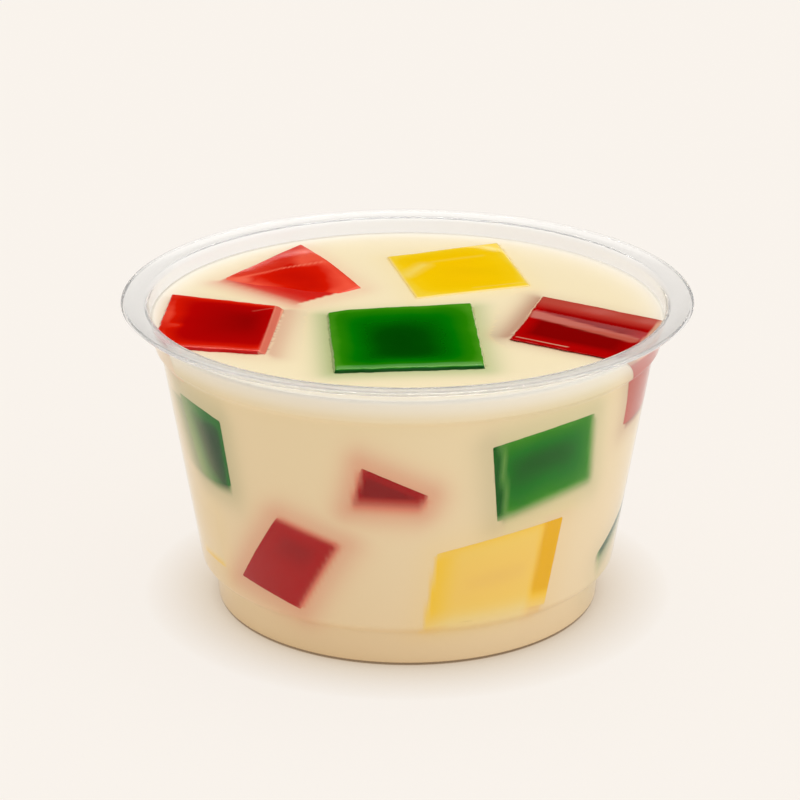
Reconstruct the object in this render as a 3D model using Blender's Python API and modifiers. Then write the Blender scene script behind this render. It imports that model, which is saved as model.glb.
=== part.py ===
"""Moulded milk jelly with coloured jelly cubes, set in a clear plastic portion cup.

The origin is the middle of the cup's underside, +Z up. The lengths below are in millimetres, and MM turns
them into the scene's metres. The milk jelly was poured warm round cubes of firm jelly, so it is one solid
with a pocket for each cube, and the cubes that touch the cup lie flush with its wall.
"""

import math
from dataclasses import dataclass

import bmesh
import bpy
from mathutils import Euler, Vector

MM = 0.001
TURN_STEPS = 64

# The cup, thermoformed from one clear sheet.
SHEET = 0.4
CUP_TOP = 41.0
RIM_RADIUS = 36.9
BASE_RADIUS = 25.1
BASE_CORNER = 0.5
FOOT_TOP_RADIUS = 25.5
FOOT_HEIGHT = 4.6
BODY_LOW_RADIUS = 27.2
BODY_LOW = 5.8
BODY_HIGH_RADIUS = 31.95
BODY_HIGH = 34.9
NECK_LOW_RADIUS = 32.7
NECK_LOW = 35.4
NECK_HIGH_RADIUS = 33.7
NECK_HIGH = 39.92
FLANGE_RADIUS = 34.15
LIP_ROLL = 0.15
LIP_END = 40.0
LIP_WIDTH = 0.2
LIP_STEP = 0.13

# The jelly. FIT is the gap that two touching solids keep, and a cube's corner moves out by CORNER_REACH
# times as much as its sides do.
FIT = 0.3
CORNER_REACH = 1.6
MILK_LEVEL = 38.35
HOLLOW_TOP = 39.8
CUBE_EDGE = 0.35

# The cubes by the wall: how far in they go, how far they lean back, and how far they run out past the
# wall before it trims them.
WALL_DEPTH = 6.0
WALL_LEAN = 22.0
WALL_REACH = 6.0

# Where the knife ran back under a cube, its sides bend at this depth, with this share of the way gone.
UNDERCUT_BEND = 3.0
UNDERCUT_SHARE = 0.65

CLEAR_PLASTIC = (0.90, 0.90, 0.88)
MILK = (0.93, 0.86, 0.70)
RED = (0.62, 0.01, 0.01)
GREEN = (0.01, 0.28, 0.01)
YELLOW = (0.92, 0.60, 0.02)

parts = bpy.data.collections.new("moulded_jelly")
cutters = bpy.data.collections.new("cutters")


@dataclass
class Cube:
    """A cut cube of jelly: the four corners of its shown face, counter-clockwise, and its depth behind it.

    x and y run across the face, from its middle. The cube sits at place, which is the middle of the face,
    and turn aims the face: unturned, it looks straight up. The cube runs on past the face by reach, and
    its bottom lies back from the face by undercut.
    """

    name: str
    colour: tuple
    place: tuple
    turn: tuple
    corners: tuple
    depth: float
    reach: float = 0.0
    undercut: float = 0.0


def clear_scene():
    for thing in list(bpy.data.objects):
        bpy.data.objects.remove(thing)
    for group in (parts, cutters):
        bpy.context.scene.collection.children.link(group)


def finish_of(name, colour, roughness, transmission=0.0):
    material = bpy.data.materials.new(name)
    material.use_nodes = True
    shader = material.node_tree.nodes["Principled BSDF"]
    shader.inputs["Base Color"].default_value = (*colour, 1.0)
    shader.inputs["Roughness"].default_value = roughness
    shader.inputs["Metallic"].default_value = 0.0
    shader.inputs["Transmission Weight"].default_value = transmission
    return material


def arc(middle, radius, first, last, steps):
    """Points on an arc, from the angle first to the angle last, in degrees."""
    points = []
    for step in range(steps + 1):
        angle = math.radians(first + (last - first) * step / steps)
        points.append((middle[0] + radius * math.cos(angle), middle[1] + radius * math.sin(angle)))
    return points


def turned(name, outline, group, smooth=False):
    """A solid or a sheet turned about Z from an outline of (radius, height) points, outer side downwards."""
    mesh = bpy.data.meshes.new(name)
    count = len(outline)
    edges = [(i, i + 1) for i in range(count - 1)]
    mesh.from_pydata([(r * MM, 0, z * MM) for r, z in outline], edges, [])
    thing = bpy.data.objects.new(name, mesh)
    group.objects.link(thing)
    screw = thing.modifiers.new("turn", "SCREW")
    screw.axis = "Z"
    screw.steps = TURN_STEPS
    screw.render_steps = TURN_STEPS
    screw.use_merge_vertices = True
    screw.merge_threshold = 0.00001
    screw.use_smooth_shade = smooth
    return thing


def as_cutter(thing):
    thing.hide_render = True
    thing.display_type = "WIRE"
    return thing


def cup_wall():
    """The outer side of the cup below its flange, from the top of the neck down to the middle of the base."""
    return [
        (NECK_HIGH_RADIUS, NECK_HIGH),
        (NECK_LOW_RADIUS, NECK_LOW),
        (BODY_HIGH_RADIUS, BODY_HIGH),
        (BODY_LOW_RADIUS, BODY_LOW),
        (BODY_LOW_RADIUS - BASE_CORNER, BODY_LOW - BASE_CORNER),
        (FOOT_TOP_RADIUS, FOOT_HEIGHT),
        (BASE_RADIUS, BASE_CORNER),
        (BASE_RADIUS - BASE_CORNER, 0),
        (0, 0),
    ]


def cup_outside():
    """The sheet's outer and under side, from the rolled lip over the flange and down the wall."""
    reach = (SHEET + LIP_ROLL) * math.cos(math.radians(LIP_END))
    roll = (RIM_RADIUS - reach, CUP_TOP - SHEET - LIP_ROLL)
    lip = arc(roll, LIP_ROLL, LIP_END, 90, 3)
    step = [(roll[0] - LIP_WIDTH, CUP_TOP - SHEET - LIP_STEP)]
    bend = arc((FLANGE_RADIUS, NECK_HIGH), FLANGE_RADIUS - NECK_HIGH_RADIUS, 90, 180, 4)
    return lip + step + bend[:-1] + cup_wall()


def inset(outline, distance):
    """An outline moved by distance to its inner side, with its corners kept."""
    points = [Vector(point) for point in outline]
    runs = [(after - before).normalized() for before, after in zip(points, points[1:])]
    sides = [Vector((run.y, -run.x)) for run in runs]
    moved = []
    for point, before, after in zip(points, sides[:1] + sides, sides + sides[-1:]):
        moved.append(tuple(point + (before + after) * distance / (1 + before.dot(after))))
    return moved


def radius_at(outline, height):
    """The radius of an outline that runs downwards, at a height."""
    for (high_radius, high), (low_radius, low) in zip(outline, outline[1:]):
        if low <= height < high:
            return low_radius + (high_radius - low_radius) * (height - low) / (high - low)
    raise ValueError(f"the outline has no height of {height}")


def filling_outline(top):
    """The outline of what fills the cup up to top, a fit inside its wall."""
    side = inset(cup_wall(), SHEET + FIT)
    return [(0, top), (radius_at(side, top), top)] + [point for point in side if point[1] < top]


def make_cup():
    cup = turned("cup", cup_outside(), parts, smooth=True)
    wall = cup.modifiers.new("sheet", "SOLIDIFY")
    wall.thickness = SHEET * MM
    wall.offset = -1
    wall.use_even_offset = True
    cup.data.materials.append(finish_of("clear_plastic", CLEAR_PLASTIC, 0.05, transmission=1.0))
    return cup


def cube_mesh(name, cube, grow):
    """A box whose corners are moved out to the cube's own, and a further grow past each of its faces."""
    form = bmesh.new()
    bmesh.ops.create_cube(form, size=2)
    if cube.undercut:
        uprights = [edge for edge in form.edges if edge.verts[0].co.z * edge.verts[1].co.z < 0]
        bmesh.ops.subdivide_edges(form, edges=uprights, cuts=1)
    levels = {
        1: (cube.reach + grow, 0.0),
        0: (-UNDERCUT_BEND, cube.undercut * UNDERCUT_SHARE),
        -1: (-cube.depth - grow, cube.undercut),
    }
    spots = {(-1, -1): 0, (1, -1): 1, (1, 1): 2, (-1, 1): 3}
    for point in form.verts:
        corner = Vector(cube.corners[spots[(round(point.co.x), round(point.co.y))]])
        corner += corner.normalized() * grow * CORNER_REACH
        z, back = levels[round(point.co.z)]
        point.co = Vector((corner.x, corner.y + back, z)) * MM
    mesh = bpy.data.meshes.new(name)
    form.to_mesh(mesh)
    form.free()
    thing = bpy.data.objects.new(name, mesh)
    thing.location = Vector(cube.place) * MM
    thing.rotation_euler = Euler([math.radians(angle) for angle in cube.turn])
    return thing


def soften(thing, width):
    bevel = thing.modifiers.new("soft_edge", "BEVEL")
    bevel.width = width * MM
    bevel.segments = 1
    bevel.limit_method = "ANGLE"
    bevel.angle_limit = math.radians(40)


def boolean(thing, operation, other):
    cut = thing.modifiers.new(f"{operation}_{other.name}".lower(), "BOOLEAN")
    cut.operation = operation
    cut.solver = "EXACT"
    cut.object = other


def wall_place(azimuth, height):
    """The point on the inside of the cup's wall at an azimuth in degrees from +X."""
    radius = radius_at(inset(cup_wall(), SHEET), height)
    angle = math.radians(azimuth)
    return (radius * math.cos(angle), radius * math.sin(angle), height)


def wall_cube(name, colour, azimuth, height, corners, depth=WALL_DEPTH, lean=WALL_LEAN):
    """A cube against the wall: its face looks outwards at an azimuth, and leans back to look up."""
    turn = (90.0 - lean, 0.0, azimuth + 90.0)
    return Cube(name, colour, wall_place(azimuth, height), turn, corners, depth, WALL_REACH)


def rolled_face(width, height, roll):
    """The corners of a width by height face, rolled counter-clockwise by an angle in degrees."""
    roll = math.radians(roll)
    across = Vector((math.cos(roll), math.sin(roll))) * width / 2
    along = Vector((-math.sin(roll), math.cos(roll))) * height / 2
    return tuple(tuple(across * i + along * j) for i, j in ((-1, -1), (1, -1), (1, 1), (-1, 1)))


def top_cubes():
    """The cubes that float up to the surface and stand a little out of it."""
    return [
        Cube(
            "green_cube_top_middle", GREEN, (-0.4, -10.7, 39.0), (0, 0, 0),
            ((-8.4, -11.9), (9.8, -10.3), (8.6, 12.6), (-9.8, 9.7)), 9.0,
        ),
        Cube(
            "red_cube_top_left", RED, (-24.5, -6.2, 38.85), (0, 0, 0),
            ((-7.4, -7.2), (7.2, -9.9), (8.6, 7.1), (-6.3, 12.1)), 4.6,
        ),
        Cube(
            "red_cube_top_right", RED, (22.3, -5.8, 39.2), (0, 0, 0),
            ((-9.3, -5.1), (6.8, -14.8), (12.2, -1.0), (-4.6, 9.8)), 10.8, undercut=5.2,
        ),
        Cube(
            "yellow_cube_top_back", YELLOW, (6.8, 17.0, 38.6), (0, 0, 0),
            ((-5.6, -11.7), (9.4, -6.6), (5.6, 11.7), (-9.5, 5.6)), 10.0,
        ),
        Cube(
            "red_cube_top_back", RED, (-15.2, 13.7, 38.85), (0, -2.6, 0),
            ((1.2, -10.7), (8.9, -4.0), (0.5, 14.4), (-9.8, -0.8)), 9.5,
        ),
    ]


def side_cubes():
    """The cubes that sank and set against the wall, from the left of the front round to the right."""
    return [
        wall_cube("yellow_cube_side_left", YELLOW, -154.0, 12.8, rolled_face(6.5, 6.5, 0)),
        wall_cube(
            "green_cube_side_left", GREEN, -147.0, 26.6,
            ((-1.8, -3.7), (4.7, -4.8), (4.8, 3.6), (-4.9, 4.2)), depth=3.2, lean=35.0,
        ),
        wall_cube(
            "red_cube_side_low", RED, -120.8, 13.5,
            ((0.6, -5.4), (7.0, 3.8), (-1.4, 5.5), (-8.7, -3.0)), lean=24.0,
        ),
        wall_cube(
            "red_cube_side_middle", RED, -94.5, 25.2,
            ((-4.5, -1.4), (4.1, -1.6), (4.9, 0.1), (-3.2, 3.3)), lean=21.0,
        ),
        wall_cube(
            "yellow_cube_side_front", YELLOW, -66.8, 12.1,
            ((-8.8, -4.8), (7.6, -4.3), (9.2, 6.5), (-7.9, 4.5)),
        ),
        wall_cube(
            "green_cube_side_right", GREEN, -54.5, 26.8,
            ((-6.8, -4.9), (7.5, -3.0), (6.4, 5.1), (-8.6, 4.2)), depth=5.5, lean=25.0,
        ),
        wall_cube(
            "green_cube_side_edge", GREEN, -3.0, 12.0,
            ((-9.6, -7.6), (0.5, -5.8), (1.0, 4.0), (-12.1, -0.4)),
        ),
        wall_cube("yellow_cube_side_right", YELLOW, 19.0, 21.2, rolled_face(12.0, 10.0, -9)),
        wall_cube("red_cube_side_right", RED, 53.0, 12.0, rolled_face(11.5, 10.5, 22)),
        wall_cube("green_cube_side_back", GREEN, 87.0, 20.8, rolled_face(13.0, 10.8, -12)),
        wall_cube("yellow_cube_side_back", YELLOW, 124.0, 12.0, rolled_face(13.0, 10.0, 8)),
        wall_cube("red_cube_side_back", RED, 157.0, 21.0, rolled_face(11.5, 10.0, -28)),
    ]


def make_jelly():
    cup_hollow = as_cutter(turned("cup_hollow", filling_outline(HOLLOW_TOP), cutters))
    milk = turned("milk_jelly", filling_outline(MILK_LEVEL), parts)
    milk.data.materials.append(finish_of("milk_jelly", MILK, 0.25))
    shades = {
        RED: finish_of("red_jelly", RED, 0.1),
        GREEN: finish_of("green_jelly", GREEN, 0.1),
        YELLOW: finish_of("yellow_jelly", YELLOW, 0.1),
    }
    for cube in top_cubes() + side_cubes():
        solid = cube_mesh(cube.name, cube, 0.0)
        parts.objects.link(solid)
        soften(solid, CUBE_EDGE)
        boolean(solid, "INTERSECT", cup_hollow)
        solid.data.materials.append(shades[cube.colour])
        pocket = as_cutter(cube_mesh(f"pocket_{cube.name}", cube, FIT))
        cutters.objects.link(pocket)
        boolean(milk, "DIFFERENCE", pocket)


clear_scene()
make_cup()
make_jelly()
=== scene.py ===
import math
from dataclasses import dataclass

import bmesh
import bpy
import numpy as np
from mathutils import Euler, Matrix, Vector, noise


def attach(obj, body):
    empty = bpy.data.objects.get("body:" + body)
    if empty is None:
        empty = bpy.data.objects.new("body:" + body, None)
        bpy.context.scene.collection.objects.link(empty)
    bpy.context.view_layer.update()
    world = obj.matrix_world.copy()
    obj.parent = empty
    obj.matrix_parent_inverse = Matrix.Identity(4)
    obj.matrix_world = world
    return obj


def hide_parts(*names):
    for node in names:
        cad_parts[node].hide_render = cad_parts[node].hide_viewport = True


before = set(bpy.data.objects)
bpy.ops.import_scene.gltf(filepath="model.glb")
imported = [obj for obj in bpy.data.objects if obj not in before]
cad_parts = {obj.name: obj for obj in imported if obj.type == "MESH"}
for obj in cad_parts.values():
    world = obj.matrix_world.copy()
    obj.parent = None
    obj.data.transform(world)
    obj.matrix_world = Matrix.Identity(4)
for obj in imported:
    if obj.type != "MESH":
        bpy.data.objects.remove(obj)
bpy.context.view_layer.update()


# ---- The camera -------------------------------------------------------------------------------------
# A long lens a little above the cup, as a person sees it on a table. The cup stands in the middle of
# the view, with the table all round it.

camera = bpy.data.objects.new("camera", bpy.data.cameras.new("camera"))
bpy.context.scene.collection.objects.link(camera)
bpy.context.scene.camera = camera
camera.location = (0.0, -0.371933, 0.16774)
camera.rotation_euler = (math.radians(69.1757), 0, 0)
camera.data.lens = 137.05
camera.data.shift_x = -0.0093
camera.data.clip_end = 10.0


# ---- The cup ----------------------------------------------------------------------------------------
# A portion cup of clear plastic, drawn down into a mould from one warm sheet. So its wall is one even
# sheet, every corner of it is round, and its rim is a flat flange with the edge rolled down.

MM = 0.001
ROUND_STEPS = 288
SHEET = 0.4
CUP_TOP = 41.0
RIM_RADIUS = 36.85
LIP_ROLL = 0.15
LIP_END = 40
LIP_WIDTH = 0.2
LIP_STEP = 0.13
FLANGE_RADIUS = 34.15
NECK_HIGH_RADIUS, NECK_HIGH = 33.7, 39.92
NECK_LOW_RADIUS, NECK_LOW = 32.7, 35.4
BODY_HIGH_RADIUS, BODY_HIGH = 31.95, 34.9
BODY_LOW_RADIUS, BODY_LOW = 27.2, 5.8
FOOT_TOP_RADIUS, FOOT_HEIGHT = 25.5, 4.6
BASE_RADIUS = 25.1
CORNER_STEPS = 6


def arc(middle, radius, first, last, steps):
    """Points on an arc, from the angle first to the angle last, in degrees."""
    turns = [math.radians(first + (last - first) * step / steps) for step in range(steps + 1)]
    return [(middle[0] + radius * math.cos(a), middle[1] + radius * math.sin(a)) for a in turns]


def rounded(outline):
    """An outline of (radius, height, rounding) points, with each corner drawn as a curve that long."""
    points = []
    for place, (radius, height, rounding) in enumerate(outline):
        corner = Vector((radius, height))
        if not rounding:
            points.append(tuple(corner))
            continue
        before = Vector(outline[place - 1][:2]) - corner
        after = Vector(outline[place + 1][:2]) - corner
        start = corner + before.normalized() * rounding
        end = corner + after.normalized() * rounding
        for step in range(CORNER_STEPS + 1):
            t = step / CORNER_STEPS
            points.append(tuple(start * (1 - t) ** 2 + corner * 2 * t * (1 - t) + end * t ** 2))
    return points


def cup_wall():
    """The outer side of the cup under its flange, from the top of the neck to the middle of the base."""
    return rounded([
        (NECK_HIGH_RADIUS, NECK_HIGH, 0),
        (NECK_LOW_RADIUS, NECK_LOW, 0.25),
        (BODY_HIGH_RADIUS, BODY_HIGH, 0.3),
        (BODY_LOW_RADIUS, BODY_LOW, 0.6),
        (FOOT_TOP_RADIUS, FOOT_HEIGHT, 0.5),
        (BASE_RADIUS, 0, 0.4),
        (0, 0, 0),
    ])


def cup_outside():
    """The outer and under side of the sheet, from the rolled lip to the middle of the base."""
    reach = (SHEET + LIP_ROLL) * math.cos(math.radians(LIP_END))
    roll = (RIM_RADIUS - reach, CUP_TOP - SHEET - LIP_ROLL)
    lip = arc(roll, LIP_ROLL, LIP_END, 90, 6)
    step = [(roll[0] - LIP_WIDTH, CUP_TOP - SHEET - LIP_STEP)]
    bend = arc((FLANGE_RADIUS, NECK_HIGH), FLANGE_RADIUS - NECK_HIGH_RADIUS, 90, 180, 8)
    return lip + step + bend[:-1] + cup_wall()


def inset(outline, distance):
    """An outline moved by distance to its inner side."""
    points = [Vector(point) for point in outline]
    runs = [(after - before).normalized() for before, after in zip(points, points[1:])]
    sides = [Vector((run.y, -run.x)) for run in runs]
    moved = []
    for point, before, after in zip(points, sides[:1] + sides, sides + sides[-1:]):
        moved.append(tuple(point + (before + after) * distance / (1 + before.dot(after))))
    return moved


def radius_at(outline, height):
    """The radius of an outline that runs downwards, at a height."""
    for (high_radius, high), (low_radius, low) in zip(outline, outline[1:]):
        if low <= height < high:
            return low_radius + (high_radius - low_radius) * (height - low) / (high - low)
    raise ValueError(f"the outline has no height of {height}")


def turned(name, outline, steps=ROUND_STEPS):
    """A mesh object turned about Z from an outline of (radius, height) points in millimetres."""
    mesh = bpy.data.meshes.new(name)
    edges = [(i, i + 1) for i in range(len(outline) - 1)]
    mesh.from_pydata([(r * MM, 0, z * MM) for r, z in outline], edges, [])
    thing = bpy.data.objects.new(name, mesh)
    bpy.context.scene.collection.objects.link(thing)
    screw = thing.modifiers.new("turn", "SCREW")
    screw.steps = steps
    screw.render_steps = steps
    screw.use_merge_vertices = True
    screw.merge_threshold = 0.000001
    screw.use_smooth_shade = True
    return thing


def settled(thing):
    """The same object with its modifiers made part of its mesh."""
    bpy.context.view_layer.update()
    evaluated = thing.evaluated_get(bpy.context.evaluated_depsgraph_get())
    mesh = bpy.data.meshes.new_from_object(evaluated)
    mesh.name = thing.name
    thing.modifiers.clear()
    thing.data = mesh
    return thing


def new_material(name):
    """An empty node material, its output node, and a function that adds a node to it."""
    material = bpy.data.materials.new(name)
    material.use_nodes = True
    tree = material.node_tree
    tree.nodes.clear()
    output = tree.nodes.new("ShaderNodeOutputMaterial")

    def add(kind, settings=None, **inputs):
        node = tree.nodes.new(f"ShaderNode{kind}")
        for key, value in (settings or {}).items():
            setattr(node, key, value)
        for key, value in inputs.items():
            socket = node.inputs[key.replace("_", " ")]
            if isinstance(value, bpy.types.NodeSocket):
                tree.links.new(value, socket)
            else:
                socket.default_value = value
        return node

    return material, output, add


def clear_plastic():
    material, output, add = new_material("clear_plastic")
    tree = material.node_tree
    place = add("TexCoord").outputs["Object"]
    haze = add("TexNoise", Vector=place, Scale=900.0, Detail=3.0)
    drawn = add("Bump", Height=haze.outputs["Fac"], Strength=0.01, Distance=0.0001)
    plastic = add("BsdfPrincipled", Normal=drawn.outputs["Normal"])
    plastic.inputs["Base Color"].default_value = (0.985, 0.98, 0.97, 1)
    plastic.inputs["Roughness"].default_value = 0.1
    plastic.inputs["IOR"].default_value = 1.27
    height = add("SeparateXYZ", Vector=place).outputs["Z"]
    clear = add("MapRange", Value=height, From_Min=(NECK_LOW - 0.5) * MM, From_Max=(NECK_LOW + 2.4) * MM)
    clear.inputs["To Min"].default_value = 1.0
    clear.inputs["To Max"].default_value = 0.82
    tree.links.new(clear.outputs["Result"], plastic.inputs["Transmission Weight"])
    lets_through = add("BsdfTransparent", Color=(0.98, 0.975, 0.965, 1))
    path = add("LightPath")
    lamp_or_bounce = add("Math", {"operation": "MAXIMUM"})
    tree.links.new(path.outputs["Is Shadow Ray"], lamp_or_bounce.inputs[0])
    tree.links.new(path.outputs["Is Diffuse Ray"], lamp_or_bounce.inputs[1])
    mix = add("MixShader", Fac=lamp_or_bounce.outputs[0])
    tree.links.new(plastic.outputs[0], mix.inputs[1])
    tree.links.new(lets_through.outputs[0], mix.inputs[2])
    tree.links.new(mix.outputs[0], output.inputs["Surface"])
    return material


cup = turned("clear_cup", cup_outside(), ROUND_STEPS * 2)
sheet = cup.modifiers.new("sheet", "SOLIDIFY")
sheet.thickness = SHEET * MM
sheet.offset = -1
sheet.use_even_offset = True
settled(cup)
cup.data.set_sharp_from_angle(angle=math.radians(50))
cup.data.materials.append(clear_plastic())
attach(cup, "root")
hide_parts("cup")


# ---- The jelly cubes --------------------------------------------------------------------------------
# Firm fruit jelly, set in a tray and cut by hand into cubes, so no two are alike and their cut sides
# are a little crinkled. Five floated up and stand just out of the milk, and twelve sank to the wall.

TOP_LEVEL = 38.35
SKIN = 0.1
STAND_PROUD = 0.02
POCKET_FIT = 0.25
TOP_FIT = 0.08
CUBE_ROUND = 0.16
PAINTED_HALO_REACH = 2.4
UNDERCUT_REACH = 3.0
FOLD_REACH = 3.0
DEPTH_AT_WALL = 3.0
CRISP = 0.3
DEEP = (2.0, 2.0, 2.0, 2.0)


def bent(folds, x, y):
    """The height that the folds give the face at a point: flat right of each line, bent left of it."""
    height = 0.0
    for (from_x, from_y), heading, bend, softness in folds:
        run = Vector(heading).normalized()
        left = run.x * (y - from_y) - run.y * (x - from_x)
        height = height + bend * (left + np.hypot(left, softness)) / 2
    return height


@dataclass
class Cube:
    """A cut cube: the corners of its shown face, counter-clockwise in millimetres, and how deep it goes.

    place is the middle of that face and turn aims it; unturned, it looks straight up. The four sides run
    from corner to corner, so on a top cube they are the front, the right, the back and the left.
    """

    name: str
    slot: str
    place: tuple
    turn: tuple
    corners: tuple
    depth: float
    reach: float = 0.0  # how far the cube runs past the face, for the wall to trim
    soft: tuple = (0.1, 0.1, 0.1, 0.1)  # how far the milk's edge is blurred at each side
    light: tuple = (1.0, 1.0, 1.0, 1.0)  # how little light comes in at each side
    film: tuple = (0.0, 0.0, 0.0, 0.0)  # the milk that wets each side where it stands out of the milk
    veil: float = 0.0  # the milk that lies over the whole face
    under: tuple = (1.0, 1.0, 1.0, 1.0)  # how deep the colour is on each side under the face
    wall_veil: float = 0.0  # the milk between a top cube and the wall
    halo: tuple = (0.1, 0.1, 0.1, 0.1)  # the cube's painted glow and painted shadow in the milk at each side
    glow_depth: float = 0.0  # how deep the colour of that painted glow and shadow is
    crinkle: float = 0.03  # how uneven the knife left the sides
    flare: float = 0.0  # how far the sides run out below the face
    undercut: float = 0.0  # how far back the knife ran on its way down
    thinnest: float = 0.0  # the least jelly that the light comes through
    folds: tuple = ()  # (point, heading, bend, softness): the face bends to the left of this line
    bands: tuple = ()  # (side, width, softness, milk, depth): strips along the sides, some in the jelly's own colour, some painted highlights, some painted reflections
    painted_highlights: tuple = ()  # (point, point, width, softness, milk, depth): painted highlights and reflections across the face

    @property
    def matrix(self):
        turn = Euler([math.radians(angle) for angle in self.turn])
        return Matrix.Translation(Vector(self.place)) @ turn.to_matrix().to_4x4()

    def local(self, points):
        into = np.array(self.matrix.inverted())
        return points @ into[:3, :3].T + into[:3, 3]

    def set_back(self, z):
        """How far back the undercut has moved the sides at z."""
        return self.undercut * (1 - np.exp(np.minimum(z - self.reach, 0) / UNDERCUT_REACH))

    def sides_from(self, points):
        """How far inside each of the four sides the points lie, in millimetres, one row a point."""
        flat = self.local(points)
        flat[:, 1] -= self.set_back(flat[:, 2])
        found = []
        for start, end in zip(self.corners, self.corners[1:] + self.corners[:1]):
            run = np.subtract(end, start)
            run = run / np.hypot(*run)
            away = flat[:, :2] - start
            found.append(run[0] * away[:, 1] - run[1] * away[:, 0])
        return np.stack(found, axis=1)

    def in_band(self, inside, side, width, softness):
        return np.clip((width - inside[:, side]) / softness + 0.5, 0, 1)

    def in_painted_highlight(self, points, start, end, width, softness):
        flat = self.local(points)[:, :2] - start
        run = np.subtract(end, start)
        along = np.clip(flat @ run / (run @ run), 0, 1)
        away = np.linalg.norm(flat - along[:, None] * run, axis=1)
        return np.clip((width - away) / softness + 0.5, 0, 1)

    def on_wall(self, points):
        """Whether each point of a top cube is so far down that it shows at the wall."""
        return (points[:, 2] < TOP_LEVEL - 0.6) & (self.reach == 0)

    def under_face(self, points):
        """Whether each point is on a side of a top cube, a little under its face, from 0 to 1."""
        x, y, z = self.local(points).T
        standing = points[:, 2] > TOP_LEVEL - 0.6
        return np.clip((bent(self.folds, x, y) - z - 0.08) / 0.12, 0, 1) * (standing & (self.reach == 0))

    def within_sides(self, inside):
        """How far the points lie within each side's blur, from 0 to 1. A crisp side has none."""
        soft = np.array(self.soft)
        return np.where(soft < CRISP, 1, np.clip((inside + soft) / (2 * soft), 0, 1))

    def thickness(self, points, on_cube=False):
        """How much jelly the light comes through, at points of the cube itself or of the milk."""
        inside = self.sides_from(points)
        depth = -np.log(np.exp(-0.7 * inside * np.array(self.light)).sum(axis=1)) / 0.7
        for side, width, softness, _, band_depth in self.bands:
            share = self.in_band(inside, side, width, softness)
            depth = depth + (band_depth - depth) * share
        # Painted highlights and reflections lighten the colour along their streaks.
        for start, end, width, softness, _, highlight_depth in self.painted_highlights:
            share = self.in_painted_highlight(points, start, end, width, softness)
            depth = depth + (highlight_depth - depth) * share
        if not on_cube:
            # In the milk, the painted glow and shadow round the cube is at least this deep in colour.
            return np.maximum(depth, self.glow_depth)
        depth = np.maximum(depth, np.where(self.on_wall(points), DEPTH_AT_WALL, self.thinnest))
        depth = depth * self.within_sides(inside).min(axis=1) ** 2
        nearest = np.array(self.under)[inside.argmin(axis=1)]
        return depth + (nearest - depth) * self.under_face(points)

    def filmed(self, points):
        """How much milk wets a top cube's own sides, from 0 to 1."""
        return np.array(self.film)[self.sides_from(points).argmin(axis=1)] * self.under_face(points)

    def shows_through(self, points, on_cube=False):
        """How clearly the cube is seen, from 0 to 1, at points of the cube itself or of the milk, with a
        painted glow and painted shadow round it.
        """
        inside = self.sides_from(points)
        crisp = np.ones_like(inside) if on_cube else np.clip((inside - POCKET_FIT) / 0.2, 0, 1)
        ramp = self.within_sides(inside)
        ramp = np.where(np.array(self.soft) < CRISP, crisp, ramp * ramp * (3 - 2 * ramp))
        below = self.local(points)[:, 2] + self.depth
        core = ramp.prod(axis=1) * np.clip(1 + below, 0, 1)
        outside = np.minimum(inside, 0) ** 2 + 1e-6
        away = np.hypot(np.sqrt(outside.sum(axis=1)), np.minimum(below, 0))
        halo = (outside * self.halo).sum(axis=1) / outside.sum(axis=1)
        # Painted glow and shadow: outside the cube its colour is painted into the milk, fading away from it.
        glow = halo * np.exp(-(away / PAINTED_HALO_REACH) ** 2)
        on_wall = self.on_wall(points)
        veil = np.full(len(points), self.veil)
        # The bands mix in milk, some as a real film over the jelly, some as painted highlights and
        # reflections.
        for side, width, softness, milk, _ in self.bands:
            veil = veil + (milk - veil) * self.in_band(inside, side, width, softness) * ~on_wall
        # Painted highlights and reflections also mix in the milk's pale colour along their streaks.
        for start, end, width, softness, milk, _ in self.painted_highlights:
            veil = veil + (milk - veil) * self.in_painted_highlight(points, start, end, width, softness) * ~on_wall
        seen = (1 - veil) * core + glow * (1 - core)
        return seen * np.where(on_wall, 1 - self.wall_veil, 1)


def wall_place(azimuth, height):
    """The point on the inside of the cup's wall at an azimuth in degrees from +X."""
    radius = radius_at(inset(cup_wall(), SHEET), height)
    angle = math.radians(azimuth)
    return (radius * math.cos(angle), radius * math.sin(angle), height)


def wall_cube(name, slot, azimuth, height, corners, depth=6.0, lean=22.0, **looks):
    """A cube against the wall: its face looks outwards at an azimuth, and leans back to look up."""
    place = wall_place(azimuth, height)
    return Cube(name, slot, place, (90.0 - lean, 0.0, azimuth + 90.0), corners, depth, reach=6.0, **looks)


def rolled_face(width, height, roll):
    """The corners of a width by height face, rolled counter-clockwise by an angle in degrees."""
    roll = math.radians(roll)
    across = Vector((math.cos(roll), math.sin(roll))) * width / 2
    along = Vector((-math.sin(roll), math.cos(roll))) * height / 2
    return tuple(tuple(across * i + along * j) for i, j in ((-1, -1), (1, -1), (1, 1), (-1, 1)))


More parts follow.
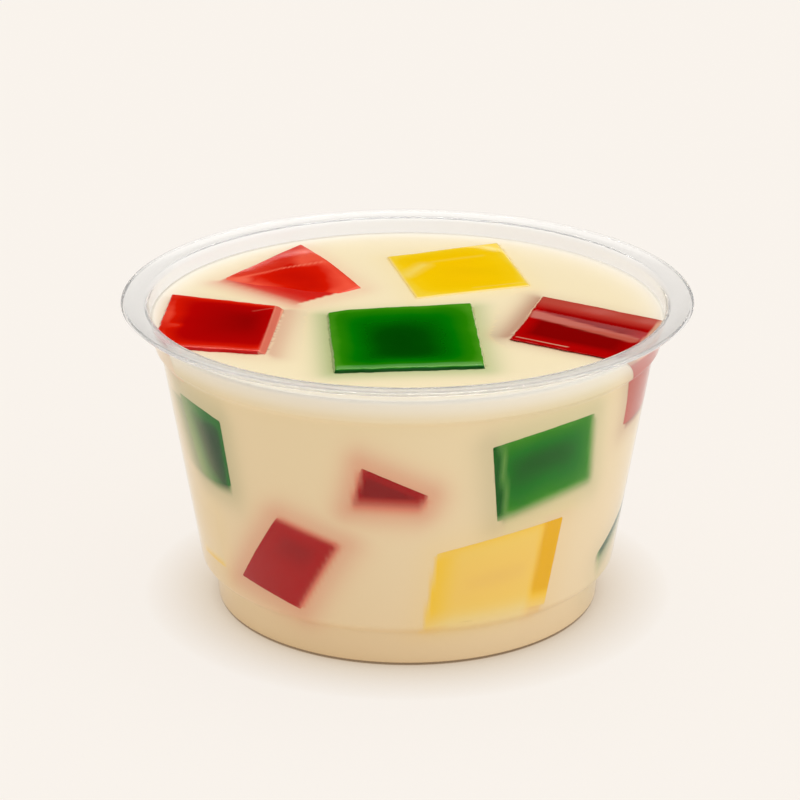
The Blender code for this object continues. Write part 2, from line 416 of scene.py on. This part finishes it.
top_cubes = [
    Cube(
        "green_cube_top_middle", "green_jelly", (-0.4, -10.7, 39.05), (0, 0, 0),
        ((-8.4, -11.9), (9.8, -10.3), (8.6, 12.6), (-9.8, 9.7)), 9.0,
        light=(1.9, 1.1, 0.9, 1.2), film=(0.0, 0.6, 0.5, 0.3), under=(9.0, 0.0, 1.0, 2.0),
        halo=(0.45, 0.4, 0.3, 0.5), crinkle=0.12, flare=0.5,
        folds=(((0, -10.2), (-1, -0.09), -0.13, 0.3), ((-8.0, 0), (0.06, 1), -0.12, 0.2)),
    ),
    Cube(
        "red_cube_top_left", "red_jelly", (-24.5, -6.2, 38.9), (0, 0, 0),
        ((-7.4, -7.2), (7.2, -9.9), (8.6, 7.1), (-6.3, 12.1)), 4.6,
        light=(1.3, 3.0, 2.0, 1.0), film=(0.0, 0.3, 0.6, 0.3), under=(3.0, 1.0, 5.0, 5.0),
        halo=(0.15, 0.4, 0.15, 0.2), glow_depth=4.0, thinnest=0.8, wall_veil=0.85, crinkle=0.14, flare=0.9,
        # Painted highlights: the pink bands on the right facet and the two lighter streaks.
        bands=((1, 1.25, 0.1, 0.3, 0.0), (1, 1.1, 0.1, 0.2, 1.5), (1, 0.3, 0.15, 0.45, 0.0)),
        painted_highlights=(
            ((4.6, 5.2), (7.6, 6.6), 0.1, 0.3, 0.1, 2.0), ((-7.2, -0.6), (-5.0, -0.2), 0.8, 0.8, 0.0, 0.5),
        ),
        folds=(((6.9, 0), (-0.1, -1), -0.5, 0.1),),
    ),
    Cube(
        "red_cube_top_right", "red_jelly", (22.3, -5.8, 39.25), (0, 0, 0),
        ((-9.3, -5.1), (6.8, -14.8), (12.2, -1.0), (-4.6, 9.8)), 10.8,
        light=(5.0, 2.2, 2.0, 5.0), film=(0.0, 0.3, 0.2, 0.75), under=(7.0, 1.0, 5.0, 0.0),
        halo=(0.3, 0.1, 0.15, 0.6), glow_depth=10.0, thinnest=3.6, wall_veil=0.12,
        # The pale band along the back is a painted reflection.
        crinkle=0.1, flare=0.4, undercut=5.4, bands=((2, 3.0, 2.4, 0.08, 3.0), (1, 2.6, 0.15, 0.45, 0.0)),
        # A painted reflection stripe across the face, and a painted highlight along the front edge.
        painted_highlights=(
            ((-6.1, 4.05), (6.0, -5.6), 0.85, 0.25, 0.13, 1.0),
            ((-8.6, -4.3), (-2.4, -8.0), 0.07, 0.1, 0.6, 0.0),
        ),
        folds=(
            ((-4.7, 9.6), (-0.84, 0.54), -0.1, 0.3), ((-6.2, 7.4), (-0.84, 0.54), 0.1, 0.9),
            ((-6.9, 6.2), (-0.84, 0.54), -0.13, 0.12), ((-8.4, 4.0), (-0.84, 0.54), 0.13, 0.12),
        ),
    ),
    Cube(
        "yellow_cube_top_back", "yellow_jelly", (6.8, 17.0, 38.6), (0, 0, 0),
        ((-5.6, -11.7), (9.4, -6.6), (5.6, 11.7), (-9.5, 5.6)), 10.0,
        soft=(0.3, 0.5, 0.1, 0.4), light=(1.4, 1.0, 1.2, 1.0), crinkle=0.08, flare=0.3,
        # Painted highlights: pale streaks on the face.
        painted_highlights=(
            ((-6.9, -2.4), (-4.6, 1.8), 0.9, 1.8, 0.16, 0.0), ((2.4, 10.6), (5.0, 8.6), 0.8, 1.2, 0.12, 0.0),
            ((-3.4, 3.2), (3.4, 6.0), 0.2, 0.8, 0.08, 0.0), ((2.0, -7.6), (9.0, -5.4), 0.1, 0.25, 0.15, 0.0),
        ),
    ),
    Cube(
        "red_cube_top_back", "red_jelly", (-15.2, 13.7, 38.88), (0, -2.6, 0),
        ((1.2, -10.7), (8.9, -4.0), (0.5, 14.4), (-9.8, -0.8)), 9.5,
        soft=(0.1, 0.1, 0.1, 1.2), light=(0.9, 0.6, 0.45, 0.5), film=(0.3, 0.3, 0.3, 0.0),
        halo=(0.2, 0.15, 0.1, 0.4), glow_depth=1.5, crinkle=0.08, flare=0.3,
        bands=((2, 4.2, 0.6, 0.0, 0.9), (3, 1.8, 1.6, 0.06, 0.0), (1, 0.7, 1.0, 0.0, 0.3)),
        # Painted highlights: salmon and pale streaks where light comes through the thin face.
        painted_highlights=(
            ((1.2, 10.5), (1.4, 5.0), 1.2, 1.6, 0.0, 0.2), ((-9.3, -1.4), (-1.5, 3.3), 0.25, 0.4, 0.05, 0.0),
            ((-1.5, 3.3), (3.9, 5.3), 0.2, 0.3, 0.12, 0.0), ((-9.0, -1.4), (-6.6, -0.8), 0.9, 1.2, 0.08, 0.0),
            ((8.4, -4.2), (6.0, -5.4), 0.9, 1.4, 0.0, 0.0),
        ),
        folds=(((-4.1, 1.7), (-0.905, -0.425), -0.06, 0.2), ((-4.1, 1.7), (0.905, 0.425), -0.03, 0.2)),
    ),
]

wall_cubes = [
    wall_cube(
        "yellow_cube_side_left", "yellow_jelly", -154, 12.8, rolled_face(6.5, 6.5, 0),
        soft=(0.2, 0.8, 0.8, 0.8), veil=0.9, bands=((0, 0.6, 0.8, 0.3, 3.0),),
    ),
    wall_cube(
        "green_cube_side_left", "green_jelly", -147.0, 26.6,
        ((-1.8, -3.7), (4.7, -4.8), (4.8, 3.6), (-4.9, 4.2)), 3.2, lean=35,
        soft=(0.6, 0.1, 0.15, 6.4), light=(6.0, 8.0, 6.0, 4.0), thinnest=4.0,
        halo=(0.25, 0.25, 0.25, 0.25), glow_depth=4.0,
    ),
    wall_cube(
        "red_cube_side_low", "red_jelly", -120.8, 13.5,
        ((0.6, -5.4), (7.0, 3.8), (-1.4, 5.5), (-8.7, -3.0)), lean=24,
        soft=(0.6, 0.7, 0.15, 0.12), light=(4.0, 4.0, 4.0, 1.3), thinnest=5.5,
        halo=(0.35, 0.35, 0.35, 0.35), glow_depth=1.5,
    ),
    wall_cube(
        "red_cube_side_middle", "red_jelly", -94.5, 25.2,
        ((-4.5, -1.4), (4.1, -1.6), (4.9, 0.1), (-3.2, 3.3)), lean=21,
        soft=(1.3, 0.6, 0.15, 0.5), light=(9.0, 9.0, 12.0, 12.0), thinnest=8.0,
        halo=(0.4, 0.4, 0.4, 0.4), glow_depth=1.5,
    ),
    wall_cube(
        "yellow_cube_side_front", "yellow_jelly", -66.8, 12.1,
        ((-8.8, -4.8), (7.6, -4.3), (9.2, 6.5), (-7.9, 4.5)),
        soft=(2.4, 0.2, 0.2, 0.3), light=(2.0, 2.0, 2.0, 2.0), veil=0.3,
        bands=((3, 2.0, 2.6, 0.1, 5.0), (2, 0.6, 0.8, 0.2, 5.0), (1, 2.8, 1.0, 0.0, 13.0)),
    ),
    wall_cube(
        "green_cube_side_right", "green_jelly", -54.5, 26.8,
        ((-6.8, -4.9), (7.5, -3.0), (6.4, 5.1), (-8.6, 4.2)), 5.5, lean=25,
        soft=(0.9, 0.9, 0.12, 0.15), light=(1.3, 1.3, 2.2, 2.2), thinnest=0.8,
        halo=(0.2, 0.2, 0.2, 0.2), glow_depth=0.8,
        bands=((3, 1.5, 0.4, 0.1, 0.0), (3, 0.85, 0.3, 0.0, 6.0)),
    ),
    wall_cube(
        "green_cube_side_edge", "green_jelly", -3.0, 12.0,
        ((-9.6, -7.6), (0.5, -5.8), (1.0, 4.0), (-12.1, -0.4)),
        soft=(0.8, 0.8, 0.12, 0.8), light=DEEP, veil=0.85, glow_depth=4.0, thinnest=4.0,
        bands=((2, 2.2, 3.5, 0.25, 5.0), (2, 1.1, 0.8, 0.0, 8.0)),
    ),
    wall_cube("yellow_cube_side_right", "yellow_jelly", 19.0, 21.2, rolled_face(12.0, 10.0, -9), light=DEEP),
    wall_cube("red_cube_side_right", "red_jelly", 53.0, 12.0, rolled_face(11.5, 10.5, 22), light=DEEP),
    wall_cube("green_cube_side_back", "green_jelly", 87.0, 20.8, rolled_face(13.0, 10.8, -12), light=DEEP),
    wall_cube("yellow_cube_side_back", "yellow_jelly", 124.0, 12.0, rolled_face(13.0, 10.0, 8), light=DEEP),
    wall_cube("red_cube_side_back", "red_jelly", 157.0, 21.0, rolled_face(11.5, 10.0, -28), light=DEEP),
]


def linked(thing):
    bpy.context.scene.collection.objects.link(thing)
    return thing


def plain_cube(name, cube, grow=0.0):
    """The cube as a block with sharp edges, each side moved out by grow."""
    form = bmesh.new()
    bmesh.ops.create_cube(form, size=2)
    spots = {(-1, -1): 0, (1, -1): 1, (1, 1): 2, (-1, 1): 3}
    for point in form.verts:
        corner = Vector(cube.corners[spots[(round(point.co.x), round(point.co.y))]])
        corner += corner.normalized() * grow * 1.5
        z = cube.reach + 2 * abs(grow) if point.co.z > 0 else -cube.depth - grow
        point.co = cube.matrix @ Vector((corner.x, corner.y, z)) * MM
    mesh = bpy.data.meshes.new(name)
    form.to_mesh(mesh)
    form.free()
    return linked(bpy.data.objects.new(name, mesh))


def cut_cube(name, cube, cuts, within=0.0):
    """The cube as a fine mesh, with round edges and the crinkles that a knife leaves in its sides.

    within takes that much off all round.
    """
    form = bmesh.new()
    bmesh.ops.create_cube(form, size=2)
    bmesh.ops.subdivide_edges(form, edges=form.edges[:], cuts=cuts, use_grid_fill=True)
    corners = [Vector(corner) for corner in cube.corners]
    high, low = cube.reach, -cube.depth
    half = Vector((
        ((corners[1] - corners[0]).length + (corners[2] - corners[3]).length) / 4,
        ((corners[3] - corners[0]).length + (corners[2] - corners[1]).length) / 4,
        (high - low) / 2,
    ))
    inner = half - Vector((CUBE_ROUND,) * 3)
    for point in form.verts:
        spot = Vector([(0.6 * math.sin(t * math.pi / 2) + 0.4 * t) * h for t, h in zip(point.co, half)])
        core = Vector([max(-i, min(i, s)) for s, i in zip(spot, inner)])
        if (spot - core).length > 0:
            spot = core + (spot - core).normalized() * CUBE_ROUND
        u, v = spot.x / half.x, spot.y / half.y
        front = corners[0].lerp(corners[1], (u + 1) / 2)
        back = corners[3].lerp(corners[2], (u + 1) / 2)
        flat = front.lerp(back, (v + 1) / 2)
        z = (high + low) / 2 + spot.z
        seed = Vector((flat.x, flat.y, z)) + Vector(cube.place)
        side = max(abs(u), abs(v)) ** 12
        rough = noise.noise(seed * 0.8) + 0.6 * noise.noise(seed * 2.4)
        outwards = cube.crinkle * rough + min(cube.flare, 0.6 * (high - z))
        flat += flat.normalized() * (outwards - within) * side
        flat.y += cube.set_back(z)
        top = max(0.0, 1 - (high - z) / FOLD_REACH)
        lift = bent(cube.folds, flat.x, flat.y) + 0.05 * noise.noise(seed * 0.22)
        point.co = cube.matrix @ Vector((flat.x, flat.y, z + (lift - within) * top)) * MM
    mesh = bpy.data.meshes.new(name)
    form.to_mesh(mesh)
    form.free()
    mesh.shade_smooth()
    return linked(bpy.data.objects.new(name, mesh))


def points_of(mesh):
    """The mesh's points in millimetres, one row a point."""
    found = np.empty(len(mesh.vertices) * 3)
    mesh.vertices.foreach_get("co", found)
    return found.reshape(-1, 3) / MM


def keep(mesh, name, values):
    """Stores one number a point on the mesh, for its material to read."""
    layer = mesh.attributes.new(name, "FLOAT", "POINT")
    layer.data.foreach_set("value", values.astype(np.float32))


def boolean(thing, operation, other):
    cut = thing.modifiers.new(other.name, "BOOLEAN")
    cut.operation = operation
    cut.solver = "EXACT"
    cut.object = other


JELLY = {
    "red_jelly": (
        (0.93, 0.10, 0.05), (0.69, 0.008, 0.0), (0.47, 0.0, 0.0), (0.385, 0.0, 0.0), (0.25, 0.0, 0.0)
    ),
    "green_jelly": (
        (0.07, 0.30, 0.01), (0.02, 0.22, 0.0), (0.0, 0.17, 0.0), (0.0, 0.068, 0.0), (0.0, 0.045, 0.0)
    ),
    "yellow_jelly": (
        (0.96, 0.66, 0.04), (0.97, 0.61, 0.004), (0.97, 0.59, 0.0), (0.97, 0.57, 0.0), (0.86, 0.44, 0.0)
    ),
}
JELLY_DEPTHS = (0.0, 0.1, 0.27, 0.6, 1.0)
# The milk's colour by height, with a painted shade that darkens and warms it towards the foot.
MILK_SHADE_STEPS = (
    (0.0, (0.87, 0.645, 0.385)),
    (0.14, (0.88, 0.675, 0.41)),
    (0.5, (0.895, 0.705, 0.44)),
    (0.94, (0.905, 0.73, 0.45)),
    (1.0, (0.915, 0.77, 0.495)),
)


def colour_steps(add, amount, steps):
    """A ramp node's colour, through (place, colour) steps."""
    ramp = add("ValToRGB", Fac=amount)
    ends = ramp.color_ramp.elements
    for spot, (place, colour) in enumerate(steps):
        end = ends[spot] if spot < 2 else ends.new(place)
        end.position = place
        end.color = (*colour, 1)
    return ramp.outputs["Color"]


def milk_colour_and_shade(add):
    """The milk's colour with a painted shade: darker and warmer towards the foot and palest on its top face,
    with a faint cloud of its own through it.
    """
    place = add("TexCoord").outputs["Object"]
    height = add("SeparateXYZ", Vector=place).outputs["Z"]
    cloud = add("TexNoise", Vector=place, Scale=55.0, Detail=2.0).outputs["Fac"]
    amount = add("MapRange", Value=height, From_Max=TOP_LEVEL * MM).outputs["Result"]
    cloudy = add("Math", {"operation": "MULTIPLY_ADD"})
    tree = cloudy.id_data
    tree.links.new(cloud, cloudy.inputs[0])
    cloudy.inputs[1].default_value = 0.05
    tree.links.new(amount, cloudy.inputs[2])
    return colour_steps(add, cloudy.outputs[0], MILK_SHADE_STEPS)


def jelly_colour(add, slot):
    """The jelly's own colour: light where it is thin, and deeper the more of it there is."""
    place = add("TexCoord").outputs["Object"]
    blotch = add("TexNoise", Vector=place, Scale=160.0, Detail=2.0).outputs["Fac"]
    edge = add("Attribute", {"attribute_name": "from_edge"}).outputs["Fac"]
    depth = add("Math", {"operation": "MULTIPLY_ADD"})
    tree = depth.id_data
    tree.links.new(blotch, depth.inputs[0])
    depth.inputs[1].default_value = 2.0
    tree.links.new(edge, depth.inputs[2])
    amount = add("MapRange", Value=depth.outputs[0], From_Min=1.0, From_Max=13.0).outputs["Result"]
    return colour_steps(add, amount, tuple(zip(JELLY_DEPTHS, JELLY[slot])))


def jelly_material(slot):
    material, output, add = new_material(slot)
    tree = material.node_tree
    colour = jelly_colour(add, slot)
    shown = add("Attribute", {"attribute_name": "shown"}).outputs["Fac"]
    mix = add("Mix", {"data_type": "RGBA"}, Factor=shown)
    tree.links.new(milk_colour_and_shade(add), mix.inputs["A"])
    tree.links.new(colour, mix.inputs["B"])
    fine = add("TexNoise", Vector=add("TexCoord").outputs["Object"], Scale=700.0, Detail=2.0)
    bump = add("Bump", Height=fine.outputs["Fac"], Strength=0.05, Distance=0.0002)
    shader = add("BsdfPrincipled", Normal=bump.outputs["Normal"])
    tree.links.new(mix.outputs["Result"], shader.inputs["Base Color"])
    shader.inputs["Roughness"].default_value = 0.08
    shader.inputs["Specular IOR Level"].default_value = 0.15
    tree.links.new(shader.outputs[0], output.inputs["Surface"])
    return material


def in_steps(outline, step):
    """The outline with points no further apart than step."""
    points = [Vector(outline[0])]
    for point in outline[1:]:
        run = Vector(point) - points[-1]
        start = points[-1]
        count = max(1, math.ceil(run.length / step))
        points += [start + run * (i / count) for i in range(1, count + 1)]
    return [tuple(point) for point in points]


def wall_inside(top, deeper=0.0):
    """The outline of what fills the cup up to top: it reaches a skin's depth into the wall."""
    side = inset(cup_wall(), SHEET - SKIN - deeper)
    return [(0, top), (radius_at(side, top), top)] + [point for point in side if point[1] < top]


MILK_STEP = 0.5
materials = {slot: jelly_material(slot) for slot in JELLY}
cup_hollow = turned("cup_hollow", in_steps(wall_inside(NECK_HIGH - 0.1, STAND_PROUD), MILK_STEP))
settled(cup_hollow)
for cube in top_cubes + wall_cubes:
    piece = cut_cube(f"jelly_{cube.name}", cube, cuts=55 if cube in top_cubes or cube.bands else 31)
    boolean(piece, "INTERSECT", cup_hollow)
    settled(piece)
    piece.data.set_sharp_from_angle(angle=math.radians(40))
    points = points_of(piece.data)
    keep(piece.data, "from_edge", cube.thickness(points, on_cube=True))
    keep(piece.data, "shown", cube.shows_through(points, on_cube=True) * (1 - cube.filmed(points)))
    piece.data.materials.clear()
    piece.data.materials.append(materials[cube.slot])
    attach(piece, "root")
    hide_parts(cube.name)


# ---- The milk jelly ---------------------------------------------------------------------------------
# Sweet milk set with gelatine, poured round the cubes and left to set in the cup. It wets the wall and the
# cubes, so it climbs a little at each of them, and thin films of it veil the sunken cubes. Its colour has
# painted shade towards the foot, painted light by the wall and in the neck, and a painted glow and shadow
# round each cube.

CLIMB = 0.35
CLIMB_REACH = 0.7
NECK_PAINTED_LIGHT = 0.55


def milk_material():
    material, output, add = new_material("milk_jelly")
    tree = material.node_tree
    colour = milk_colour_and_shade(add)
    # Each cube's colour where thin milk veils it, and its painted glow and shadow in the milk round it.
    for slot in JELLY:
        amount = add("Attribute", {"attribute_name": slot}).outputs["Fac"]
        mix = add("Mix", {"data_type": "RGBA"}, Factor=amount)
        tree.links.new(colour, mix.inputs["A"])
        tree.links.new(jelly_colour(add, slot), mix.inputs["B"])
        colour = mix.outputs["Result"]
    # Painted light: the milk is painted paler near the wall on its top and up in the neck.
    painted_light = add("Attribute", {"attribute_name": "by_wall"}).outputs["Fac"]
    painted_paler = add("Mix", {"data_type": "RGBA"}, Factor=painted_light)
    tree.links.new(colour, painted_paler.inputs["A"])
    painted_paler.inputs["B"].default_value = (0.97, 0.90, 0.79, 1)
    colour = painted_paler.outputs["Result"]
    place = add("TexCoord").outputs["Object"]
    fine = add("TexNoise", Vector=place, Scale=300.0, Detail=2.0)
    bump = add("Bump", Height=fine.outputs["Fac"], Strength=0.03, Distance=0.0003)
    shader = add("BsdfPrincipled", Normal=bump.outputs["Normal"])
    tree.links.new(colour, shader.inputs["Base Color"])
    shader.inputs["Roughness"].default_value = 0.3
    shader.inputs["Specular IOR Level"].default_value = 0.08
    tree.links.new(shader.outputs[0], output.inputs["Surface"])
    return material


milk = turned("milk", in_steps(wall_inside(TOP_LEVEL), MILK_STEP))
settled(milk)
points = points_of(milk.data)
top_radius = radius_at(inset(cup_wall(), SHEET - SKIN), TOP_LEVEL)
on_top = points[:, 2] > TOP_LEVEL - 0.01
from_wall = top_radius - np.hypot(points[:, 0], points[:, 1])
climb = CLIMB * np.exp(-from_wall / CLIMB_REACH)
for cube in top_cubes:
    outside = np.linalg.norm(np.minimum(cube.sides_from(points), 0), axis=1)
    climb = np.maximum(climb, CLIMB * 0.3 * np.exp(-outside / CLIMB_REACH))
points[:, 2] += np.where(on_top, climb, 0)
milk.data.vertices.foreach_set("co", (points * MM).ravel())
milk.data.update()
for cube in top_cubes:
    boolean(milk, "DIFFERENCE", cut_cube(f"pocket_{cube.name}", cube, 39, within=TOP_FIT))
for cube in wall_cubes:
    boolean(milk, "DIFFERENCE", plain_cube(f"pocket_{cube.name}", cube, -POCKET_FIT))
settled(milk)
points = points_of(milk.data)
cubes = top_cubes + wall_cubes
seen = np.stack([cube.shows_through(points) for cube in cubes])
depths = np.stack([cube.thickness(points) for cube in cubes])
keep(milk.data, "from_edge", depths[seen.argmax(axis=0), np.arange(len(points))])
# For each jelly, how clearly its cubes show, with their painted glow and shadow round them.
for slot in JELLY:
    keep(milk.data, slot, seen[[cube.slot == slot for cube in cubes]].max(axis=0))
# Painted light: a share of a paler colour near the wall on top, and rising up the neck.
from_wall = np.maximum(top_radius - np.hypot(points[:, 0], points[:, 1]), 0)
neck_painted_light = NECK_PAINTED_LIGHT * np.clip((points[:, 2] - NECK_LOW - 0.6) / 1.7, 0, 1)
keep(milk.data, "by_wall", np.where(points[:, 2] > TOP_LEVEL - 0.01, np.exp(-from_wall / 1.8), neck_painted_light))
milk.data.materials.clear()
milk.data.materials.append(milk_material())
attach(milk, "root")
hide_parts("milk_jelly")
for thing in [cup_hollow] + [bpy.data.objects[f"pocket_{cube.name}"] for cube in top_cubes + wall_cubes]:
    bpy.data.objects.remove(thing)


# ---- The table and the light ------------------------------------------------------------------------
# A plain pale table that mostly glows evenly, with a painted contact shadow darkening it close to the cup.
# One wide soft light stands overhead, and the pale room gives the rest.

TABLE_SIZE = 6.0
TABLE_GLOW = 0.9
SHADE_REACH = 0.010
bpy.ops.mesh.primitive_plane_add(size=TABLE_SIZE)
table = bpy.context.object
table.name = "table"
material, output, add = new_material("table")
tree = material.node_tree
grain = add("TexNoise", Vector=add("TexCoord").outputs["Object"], Scale=40.0)
colour = colour_steps(add, grain.outputs["Fac"], ((0.0, (0.942, 0.890, 0.832)), (1.0, (0.944, 0.892, 0.834))))
# Painted contact shadow: the table's colour, glow included, is darkened by occlusion close to the cup.
near = add("AmbientOcclusion", {"samples": 12}, Distance=SHADE_REACH).outputs["AO"]
SHADE_STEPS = (
    (0.0, (0.26, 0.18, 0.11)),
    (0.25, (0.54, 0.44, 0.33)),
    (0.45, (0.80, 0.73, 0.63)),
    (0.75, (0.92, 0.89, 0.85)),
    (1.0, (1.0, 1.0, 1.0)),
)
shade = colour_steps(add, near, SHADE_STEPS)
shadowed_colour = add("Mix", {"data_type": "RGBA", "blend_type": "MULTIPLY"}, Factor=1.0)
tree.links.new(colour, shadowed_colour.inputs["A"])
tree.links.new(shade, shadowed_colour.inputs["B"])
matt = add("BsdfDiffuse")
lit = add("Emission", Strength=1.0)
both = add("MixShader", Fac=TABLE_GLOW)
tree.links.new(shadowed_colour.outputs["Result"], matt.inputs["Color"])
tree.links.new(shadowed_colour.outputs["Result"], lit.inputs["Color"])
tree.links.new(matt.outputs[0], both.inputs[1])
tree.links.new(lit.outputs[0], both.inputs[2])
tree.links.new(both.outputs[0], output.inputs["Surface"])
table.data.materials.append(material)

room = bpy.data.worlds.new("room")
bpy.context.scene.world = room
room.use_nodes = True
tree = room.node_tree
room_light = tree.nodes["Background"]
path = tree.nodes.new("ShaderNodeLightPath")
heading = tree.nodes.new("ShaderNodeTexCoord")
height = tree.nodes.new("ShaderNodeSeparateXYZ")
tree.links.new(heading.outputs["Generated"], height.inputs["Vector"])
behind = tree.nodes.new("ShaderNodeMapRange")
behind.inputs["From Min"].default_value = 0.45
behind.inputs["From Max"].default_value = 0.75
behind.inputs["To Min"].default_value = 0.65
tree.links.new(height.outputs["Y"], behind.inputs["Value"])
behind.inputs["To Max"].default_value = 0.0
mirrored = tree.nodes.new("ShaderNodeValToRGB")
ends = mirrored.color_ramp.elements
ends[0].position, ends[0].color = 0.0, (0.3, 0.3, 0.3, 1)
ends[1].position, ends[1].color = 1.0, (1.2, 1.2, 1.2, 1)
for place, light in ((0.12, 0.004), (0.47, 0.004), (0.51, 0.7), (0.57, 1.2)):
    ends.new(place).color = (light, light, light, 1)
tree.links.new(height.outputs["Z"], mirrored.inputs["Fac"])
lighter = tree.nodes.new("ShaderNodeMath")
lighter.operation = "MAXIMUM"
tree.links.new(mirrored.outputs["Color"], lighter.inputs[0])
tree.links.new(behind.outputs["Result"], lighter.inputs[1])
dim = tree.nodes.new("ShaderNodeMix")
dim.inputs["A"].default_value = 0.68
tree.links.new(path.outputs["Is Glossy Ray"], dim.inputs["Factor"])
tree.links.new(lighter.outputs[0], dim.inputs["B"])
tree.links.new(dim.outputs["Result"], room_light.inputs["Strength"])
room_light.inputs["Color"].default_value = (1.0, 0.985, 0.96, 1)

for name, energy, colour, spread, aim in (
    ("overhead", 1.05, (1.0, 1.0, 1.0), 60, (-8, 5, 0)),
    ("from_right", 0.55, (0.82, 1.03, 1.25), 50, (62, 0, 66)),
):
    lamp = bpy.data.objects.new(name, bpy.data.lights.new(name, "SUN"))
    bpy.context.scene.collection.objects.link(lamp)
    lamp.data.energy = energy
    lamp.data.color = colour
    lamp.data.angle = math.radians(spread)
    lamp.rotation_euler = [math.radians(angle) for angle in aim]

window = bpy.data.objects.new("window_above", bpy.data.lights.new("window_above", "AREA"))
bpy.context.scene.collection.objects.link(window)
window.data.shape = "RECTANGLE"
window.data.size = 0.7
window.data.size_y = 0.4
window.data.energy = 8.0
window.location = (0.0, 0.4, 1.3)
window.rotation_euler = (-window.location).to_track_quat("-Z", "Y").to_euler()
window.visible_diffuse = False
window.visible_transmission = False
window.visible_camera = False

bpy.context.scene.view_settings.view_transform = "Standard"
